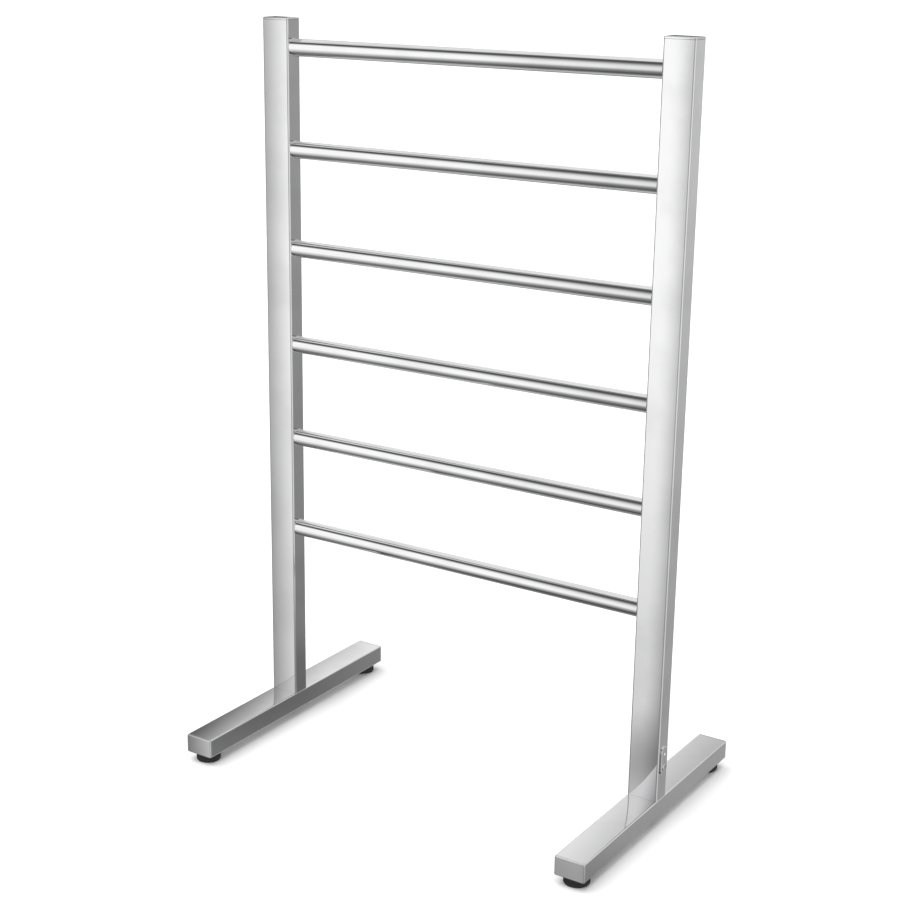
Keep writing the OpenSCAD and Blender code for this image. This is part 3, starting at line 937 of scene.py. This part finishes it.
@dataclass
class PushButton:
    """The turned button: a slightly dished cap, the flange behind the plate and the guide stem."""

    node: str = "power_button"
    cap_length: float = 3.5 * MM
    flange: float = 1.5 * MM
    step: float = 0.65 * MM
    stem: float = 1.5 * MM
    edge: float = 0.8 * MM
    dish: float = 0.35 * MM

    def build(self) -> Workpiece:
        """Turns the button in one piece."""
        low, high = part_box(self.node)
        collar = (high.z - low.z) / 2
        cap = collar - self.step
        shoulder = -self.cap_length
        back = shoulder - self.flange
        flat = cap - self.edge
        dished = [(flat * i / 8, -self.dish * (1 - (i / 8) ** 2)) for i in range(8)]
        rounded = [
            (flat + self.edge * math.sin(turn), -self.edge * (1 - math.cos(turn)))
            for turn in quarter(7, 6)
        ]
        profile = [
            *dished,
            *rounded,
            (cap, shoulder),
            (collar - 0.15 * MM, shoulder),
            (collar, shoulder - 0.15 * MM),
            (collar, back),
            (self.stem, back),
            (self.stem, low.x - high.x + 0.3 * MM),
            (self.stem - 0.3 * MM, low.x - high.x),
            (0.0, low.x - high.x),
        ]
        return turned(profile, on_axis(self.node, high.x), ALONG_X, 64)

    def dress(self) -> None:
        """Builds and dresses the button, which rides on its own body."""
        kind = (FITTING_STEEL, Slot.POLISHED, self.node, [self.node])
        self.build().release("push_button", *kind, 30.0)


@dataclass
class ButtonSpring:
    """The coil spring behind the button, which in the real switch shortens as the button goes in;
    here it keeps the length of its solid.
    """

    node: str = "button_spring"
    wire: float = 0.3 * MM
    turns: int = 5
    facets: int = 24
    travel: float = 1.5 * MM

    def build(self) -> Workpiece:
        """Winds the wire about the button's axis."""
        low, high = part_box(self.node)
        middle = (low + high) / 2
        coil = (high.z - low.z) / 2 - self.wire
        work = Workpiece()
        made = bmesh.ops.create_circle(work.bm, cap_ends=False, radius=self.wire, segments=10)
        ring = made["verts"]
        bmesh.ops.translate(work.bm, vec=(low.x + self.wire, middle.y + coil, middle.z), verts=ring)
        steps = self.turns * self.facets
        bmesh.ops.spin(
            work.bm,
            geom=[*ring, *work.bm.edges],
            cent=middle,
            axis=ALONG_X,
            dvec=((high.x - low.x - 2 * self.wire) / steps, 0, 0),
            angle=math.tau * self.turns,
            steps=steps,
        )
        bmesh.ops.holes_fill(work.bm, edges=[e for e in work.bm.edges if e.is_boundary], sides=0)
        bmesh.ops.recalc_face_normals(work.bm, faces=work.bm.faces)
        return work

    def dress(self) -> None:
        """Builds and dresses the spring, and gives it a mesh of its own."""
        low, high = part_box(self.node)
        coil = self.build().release("button_coil", SPRING, Slot.SPRING, "rack", [self.node], 60.0)
        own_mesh(coil)


@dataclass
class LampLens:
    """The domed lens of the indicator lamp, with its flange behind the plate."""

    node: str = "indicator_lens"
    radius: float = 1.7 * MM
    flange: float = 0.8 * MM
    crown: float = 0.5 * MM

    def build(self) -> Workpiece:
        """Turns the lens."""
        low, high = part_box(self.node)
        collar, length = (high.z - low.z) / 2, high.x - low.x
        dome = [
            (self.radius * math.sin(turn), -self.crown * (1 - math.cos(turn)))
            for turn in quarter(8, 7)
        ]
        profile = [
            *dome,
            (self.radius, self.flange - length),
            (collar, self.flange - length),
            (collar, -length),
            (0.0, -length),
        ]
        return turned(profile, on_axis(self.node, high.x), ALONG_X, 40)

    def dress(self) -> None:
        """Builds and dresses the lens."""
        self.build().release("lamp_lens", LENS, Slot.LENS, "rack", [self.node], 35.0)


@dataclass
class CordGland:
    """The cord's gland: a milled hexagon, a ribbed dome nut and a neck through the wall."""

    node: str = "cord_gland"
    bore: float = 3.6 * MM
    neck: float = 6.0 * MM
    across_flats: float = 15.0 * MM
    hexagon: float = 4.0 * MM
    dome: float = 6.5 * MM
    pitch: float = 1.5 * MM
    ribs: int = 18

    def _middle(self) -> Vector:
        """The middle of the hexagon's outer face, on the gland's axis."""
        low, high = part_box(self.node)
        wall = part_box("right_upright")[1].y
        return Vector(((low.x + high.x) / 2, wall, (low.z + high.z) / 2))

    def build_body(self) -> Workpiece:
        """Turns the hexagon's blank and the threaded neck, and mills the six flats."""
        low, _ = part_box(self.node)
        seat = self._middle()
        corner = self.across_flats / 2 / math.cos(math.radians(30))
        neck_end = low.y - seat.y
        thread, level = [], -1.4 * MM
        while level - self.pitch > neck_end + 0.4 * MM:
            thread += [(self.neck, level), (self.neck, level - 0.45 * self.pitch)]
            thread.append((self.neck - 0.45 * MM, level - 0.75 * self.pitch))
            level -= self.pitch
        profile = [
            (self.bore, neck_end),
            (self.bore, self.hexagon),
            (self.across_flats / 2 - 0.1 * MM, self.hexagon),
            (corner, self.hexagon - 0.5 * MM),
            (corner, 0.5 * MM),
            (self.across_flats / 2 - 0.1 * MM, 0.0),
            (self.neck, 0.0),
            *thread,
            (self.neck - 0.4 * MM, neck_end),
            (self.bore, neck_end),
        ]
        work = turned(profile, seat, ALONG_Y, 96)
        for flat in range(6):
            turn = math.radians(60 * flat + 30)
            way = Vector((math.cos(turn), 0, math.sin(turn)))
            self._mill(work, seat + way * self.across_flats / 2, way)
        bmesh.ops.recalc_face_normals(work.bm, faces=work.bm.faces)
        return work

    @staticmethod
    def _mill(work: Workpiece, point: Vector, way: Vector) -> None:
        """Cuts one flat.

        Args:
            work: The turned blank.
            point: A point on the flat.
            way: The direction that the flat faces.
        """
        made = bmesh.ops.bisect_plane(
            work.bm,
            geom=[*work.bm.verts, *work.bm.edges, *work.bm.faces],
            dist=1e-7,
            plane_co=point,
            plane_no=way,
            clear_outer=True,
            clear_inner=False,
        )
        edges = [e for e in made["geom_cut"] if isinstance(e, bmesh.types.BMEdge)]
        bmesh.ops.contextual_create(work.bm, geom=edges)

    def build_dome(self) -> Workpiece:
        """Turns the dome nut and raises grip ribs round its base."""
        _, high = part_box(self.node)
        seat = self._middle()
        end = high.y - seat.y
        low = self.hexagon
        outer = self.dome
        profile = [
            (self.bore, low + 0.01 * MM),
            (outer - 0.6 * MM, low + 0.01 * MM),
            (outer - 0.5 * MM, low + 0.3 * MM),
            (outer - 0.5 * MM, low + 3.0 * MM),
        ]
        for turn in quarter(8, 8)[1:]:
            reach = self.bore + 0.9 * MM + (outer - self.bore - 1.4 * MM) * math.cos(turn)
            rise = (end - low - 3.0 * MM) * math.sin(turn)
            profile.append((reach, low + 3.0 * MM + rise))
        profile += [(self.bore + 0.5 * MM, end), (self.bore, end - 0.4 * MM)]
        profile.append((self.bore, low + 0.01 * MM))
        work = turned(profile, seat, ALONG_Y, 72)
        for rib in range(self.ribs):
            turn = Matrix.Rotation(math.tau * rib / self.ribs, 4, "Y")
            block = work.block(
                Vector((outer - 0.9 * MM, low + 0.4 * MM, -0.35 * MM)),
                Vector((outer, low + 2.9 * MM, 0.35 * MM)),
            )
            bmesh.ops.rotate(work.bm, cent=(0, 0, 0), matrix=turn, verts=block)
            bmesh.ops.translate(work.bm, vec=seat, verts=block)
        return work

    def dress(self) -> None:
        """Builds and dresses both pieces."""
        self.build_body().release("gland_body", NYLON, Slot.NYLON, "rack", [self.node], 25.0)
        self.build_dome().release("gland_dome_nut", NYLON, Slot.NYLON, "rack", [self.node], 30.0)


@dataclass
class AccessPlugs:
    """The four press-in plugs under the foot bars, each a shallow domed cup."""

    node: str = "access_plugs"
    flange: float = 7.5 * MM
    stem: float = 6.15 * MM
    wall: float = 1.4 * MM
    spread: float = 20.0 * MM

    def build(self) -> Workpiece:
        """Turns the four plugs."""
        low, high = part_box(self.node)
        seat = low.z + 1.2 * MM
        tall = high.z - low.z
        inner = self.stem - self.wall
        profile = [
            (0.0, 0.0),
            (3.0 * MM, 0.03 * MM),
            (5.5 * MM, 0.14 * MM),
            (self.flange - 0.5 * MM, 0.35 * MM),
            (self.flange, 0.75 * MM),
            (self.flange, 1.15 * MM),
            (self.stem, seat - low.z),
            (self.stem + 0.05 * MM, tall - 1.6 * MM),
            (self.stem - 0.3 * MM, tall),
            (inner, tall),
            (inner, seat - low.z),
            (0.0, seat - low.z),
        ]
        work = Workpiece()
        outer = high.x - self.flange
        for x in (-outer, self.spread - outer, outer - self.spread, outer):
            work.turn(profile, Vector((x, (low.y + high.y) / 2, low.z)), ALONG_Z, 48)
        work.weld()
        return work

    def dress(self) -> None:
        """Builds and dresses the plugs."""
        self.build().release("press_in_plugs", NYLON, Slot.NYLON, "rack", [self.node], 35.0)


# ---- studio


@dataclass(frozen=True)
class CameraPlace:
    """Where the camera stands, as a turn about the rack and a distance."""

    azimuth: float = 32.785
    elevation: float = 16.566
    roll: float = 0.826
    distance: float = 2.2051
    target: tuple[float, float, float] = (-0.01752, 0.0, 0.43154)
    lens: float = 69.64

    def stand(self) -> None:
        """Makes the camera and makes it the scene's."""
        a, e, t = (math.radians(v) for v in (self.azimuth, self.elevation, self.roll))
        back = Vector((math.sin(a) * math.cos(e), -math.cos(a) * math.cos(e), math.sin(e)))
        level = (-back).cross(ALONG_Z).normalized()
        upright = level.cross(-back)
        right = math.cos(t) * level + math.sin(t) * upright
        up = -math.sin(t) * level + math.cos(t) * upright
        eye = Vector(self.target) + back * self.distance
        data = bpy.data.cameras.new("studio_camera")
        data.sensor_width, data.lens = 36.0, self.lens
        data.clip_start, data.clip_end = 0.05, 100.0
        camera = bpy.data.objects.new("studio_camera", data)
        turn = Matrix((right, up, back)).transposed().to_4x4()
        camera.matrix_world = Matrix.Translation(eye) @ turn
        bpy.context.scene.collection.objects.link(camera)
        bpy.context.scene.camera = camera


@dataclass(frozen=True)
class StudioPaint(Finish):
    """The pale matt paint of the studio floor and wall."""

    tone: Colour = (0.9, 0.9, 0.9)
    pale: Colour = (0.909, 0.909, 0.909)

    def draw(self, bench: Bench) -> None:
        """Draws a matt paint with the faintest mottling."""
        mottle = bench.noise(1.5, 2.0).eased(0.3, 0.7)
        colour = bench.blend(mottle, self.tone, self.pale)
        bench.surface({"Base Color": colour, "Roughness": 0.9, "Specular IOR Level": 0.1})


@dataclass(frozen=True)
class RackShade(Finish):
    """Painted shade: a dim sheet under the rack that only polished steel sees, standing in for the
    shade there, clear further out.
    """

    wide: float = 0.36
    deep: float = 0.30
    light: float = 0.08
    cover: float = 0.7
    shade_spot: tuple[float, float, float] = (0.24, -0.19, 0.20)

    def draw(self, bench: Bench) -> None:
        """Draws the painted shade, which thins out to nothing, with a second darker painted patch
        by the front right foot.
        """
        x, y, _ = bench.split(bench.place())
        patch = self._reach(x / self.wide, y / self.deep).eased(1.0, 0.3, 0.0, self.cover)
        # painted shade: a darker patch by the front right foot, which darkens the reflection in
        # that end cap
        centre_x, centre_y, radius = self.shade_spot
        shade_spot = self._reach((x - centre_x) / radius, (y - centre_y) / radius)
        share = patch.most(shade_spot.eased(1.0, 0.0, 0.0, 0.8 * self.cover))
        lit = bench.node("ShaderNodeEmission", None, {"Strength": self.light}).outputs[0]
        clear = bench.node("ShaderNodeBsdfTransparent").outputs[0]
        made = bench.node("ShaderNodeMixShader", None, {0: share, 1: clear, 2: lit})
        bench.node("ShaderNodeOutputMaterial", None, {"Surface": made.outputs[0]})

    @staticmethod
    def _reach(x: Signal, y: Signal) -> Signal:
        """How far a point is from the middle of a patch."""
        return (x * x + y * y).most(0.0001) ** 0.5


@dataclass(frozen=True)
class RoomLight:
    """How bright the room is in each direction, as soft panels that polished steel reflects."""

    panel: float = 1.5
    dark: float = 0.25
    middle: float = 0.62
    strip: float = 1.25
    gap: float = 0.13
    ceiling: float = 1.08

    def draw(self, bench: Bench) -> None:
        """Draws the room's light over all directions."""
        x, y, z = bench.split(bench.node("ShaderNodeTexCoord").outputs["Generated"])
        level = (x * x + y * y).most(0.0001) ** 0.5
        aside = x / level.most(0.85)
        glow = self._front(aside, z)
        glow = glow + (self._back(aside, abs(y) / level, z) - glow) * y.eased(-0.1, 0.1)
        glow = glow + (self.ceiling - glow) * z.eased(0.81, 0.87)
        white = (1.0, 1.0, 1.0)
        light = bench.node("ShaderNodeBackground", None, {"Color": white, "Strength": glow})
        bench.node("ShaderNodeOutputWorld", None, {"Surface": light.outputs[0]})

    def _front(self, aside: Signal, z: Signal) -> Signal:
        """The front of the room: a tall panel to the left, a strip to the right, a dim gap above.

        Args:
            aside: How far to the right a direction points.
            z: How far up it points.

        Returns:
            The brightness.
        """
        panel = aside.eased(-0.78, -0.52) * aside.eased(-0.27, -0.46)
        across = self.dark + (self.panel - self.dark) * panel
        middle = aside.eased(-0.24, -0.15) + aside.eased(-0.86, -0.95)
        across = across + (self.middle - across) * middle
        across = across + (self.strip - across) * aside.eased(0.5, 0.8)
        floor = z.eased(-0.5, -0.15, 0.63, 1.0) * z.eased(-0.8, -0.5, 0.3, 1.0)
        return self.gap + (across * floor - self.gap) * z.eased(0.74, 0.50)

    def _back(self, aside: Signal, across: Signal, z: Signal) -> Signal:
        """The back of the room: a broad panel above, and the floor's fading light below.

        Args:
            aside: How far to the right a direction points.
            across: How squarely it points back.
            z: How far up it points.

        Returns:
            The brightness.
        """
        above = across.eased(0.72, 0.83, 0.15, 1.22) * across.eased(0.85, 0.95, 1.0, 0.55)
        above = above + (0.9 - above) * across.eased(0.70, 0.60)
        above = above + (1.15 - above) * z.eased(0.5, 0.62)
        below = across.eased(0.80, 0.90, 0.6, 1.0) * z.eased(-0.5, 0.0, 0.46, 0.82)
        below = below + (0.75 - below) * z.eased(-0.55, -0.75)
        below = below + (0.7 - below) * across.eased(0.74, 0.66)
        below = below + (1.05 - below) * aside.eased(0.72, 0.9)
        return below + (above * z.eased(0.05, 0.13, 0.12, 1.0) - below) * z.eased(-0.02, 0.02)


@dataclass
class Studio:
    """A pale floor that sweeps up into a wall, in a room lit by large soft panels."""

    floor_radius: float = 6.0
    sweep: float = 3.0
    height: float = 8.0

    def build(self) -> None:
        """Makes the floor, the wall and the light."""
        paint = StudioPaint("studio_paint")
        floor = Workpiece()
        bmesh.ops.create_circle(floor.bm, cap_ends=True, radius=self.floor_radius, segments=96)
        self._set(floor, "studio_floor", paint).visible_glossy = False
        wall = Workpiece()
        r, s = self.floor_radius, self.sweep
        profile = [(r + s * math.sin(t), s - s * math.cos(t)) for t in quarter(16, 15)]
        profile.append((r + s, self.height))
        wall.turn(profile, Vector((0, 0, 0)), ALONG_Z, 96)
        wall_piece = self._set(wall, "studio_wall", paint)
        wall_piece.visible_glossy = wall_piece.visible_diffuse = wall_piece.visible_shadow = False
        # a sheet of painted shade under the rack, seen only in the steel's reflections
        patch = Workpiece()
        bmesh.ops.create_circle(patch.bm, cap_ends=True, radius=0.5, segments=64)
        bmesh.ops.translate(patch.bm, vec=(0, 0, 0.0002), verts=patch.bm.verts)
        shade = self._set(patch, "rack_shade", RackShade("rack_shade"))
        shade.visible_camera = shade.visible_diffuse = shade.visible_shadow = False
        self._key()
        self._room()

    @staticmethod
    def _key() -> None:
        """A broad soft key light from above, for the floor and the matt pieces."""
        data = bpy.data.lights.new("key_light", "SUN")
        data.energy, data.angle = 2.2, math.radians(70)
        lamp = bpy.data.objects.new("key_light", data)
        lamp.rotation_euler = (math.radians(18), math.radians(-14), 0)
        lamp.visible_glossy = False
        bpy.context.scene.collection.objects.link(lamp)

    @staticmethod
    def _set(work: Workpiece, name: str, paint: Finish) -> bpy.types.Object:
        """Places a part of the set."""
        piece = work.lift(name, paint)
        return piece

    @staticmethod
    def _room() -> None:
        """Draws the room's light."""
        world = bpy.data.worlds.new("studio_room")
        world.use_nodes = True
        bpy.context.scene.world = world
        RoomLight().draw(Bench(world.node_tree))


# ---- main


def dress_carried() -> None:
    """Gives every solid that is kept as it is its finish."""
    for finish, nodes in CARRIED.items():
        for node in nodes:
            mesh = bpy.data.objects[node].data
            mesh.materials.clear()
            mesh.materials.append(finish.material())
            LOG.info("%s: kept, in %s", node, finish.name)


def main() -> None:
    """Builds the rack in order, from the uprights outwards."""
    logging.basicConfig(level=logging.INFO, format="%(name)s: %(message)s")
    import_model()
    bpy.context.scene.view_settings.view_transform = "Standard"
    Studio().build()
    CameraPlace().stand()
    for node in ("left_upright", "right_upright"):
        tube = TubeMember(node, UPRIGHT_STEEL)
        tube.dress(tube.build())
    for node in ("left_foot_bar", "right_foot_bar"):
        tube = TubeMember(node, FOOT_STEEL)
        tube.dress(tube.build())
    for side in Side:
        cap = FaceCap(f"{side.value}_top_cap", ALONG_Z, UPRIGHT_STEEL)
        cap.dress(cap.build())
    for corner in Corner:
        way = Vector((0, -1 if corner.toward_front else 1, 0))
        cap = FaceCap(f"{corner.value}_end_cap", way, FOOT_STEEL, plate=2.5 * MM)
        cap.dress(cap.build())
        LevellingFoot(corner).dress()
    inner_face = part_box("right_upright")[0].x
    for number in range(1, 7):
        rung = Rung(number, inner_face)
        rung.dress(rung.build())
    switch = (SwitchPlate(), PushButton(), ButtonSpring(), LampLens())
    for fitting in (*switch, CordGland(), AccessPlugs()):
        fitting.dress()
    dress_carried()


if __name__ == "__main__":
    main()
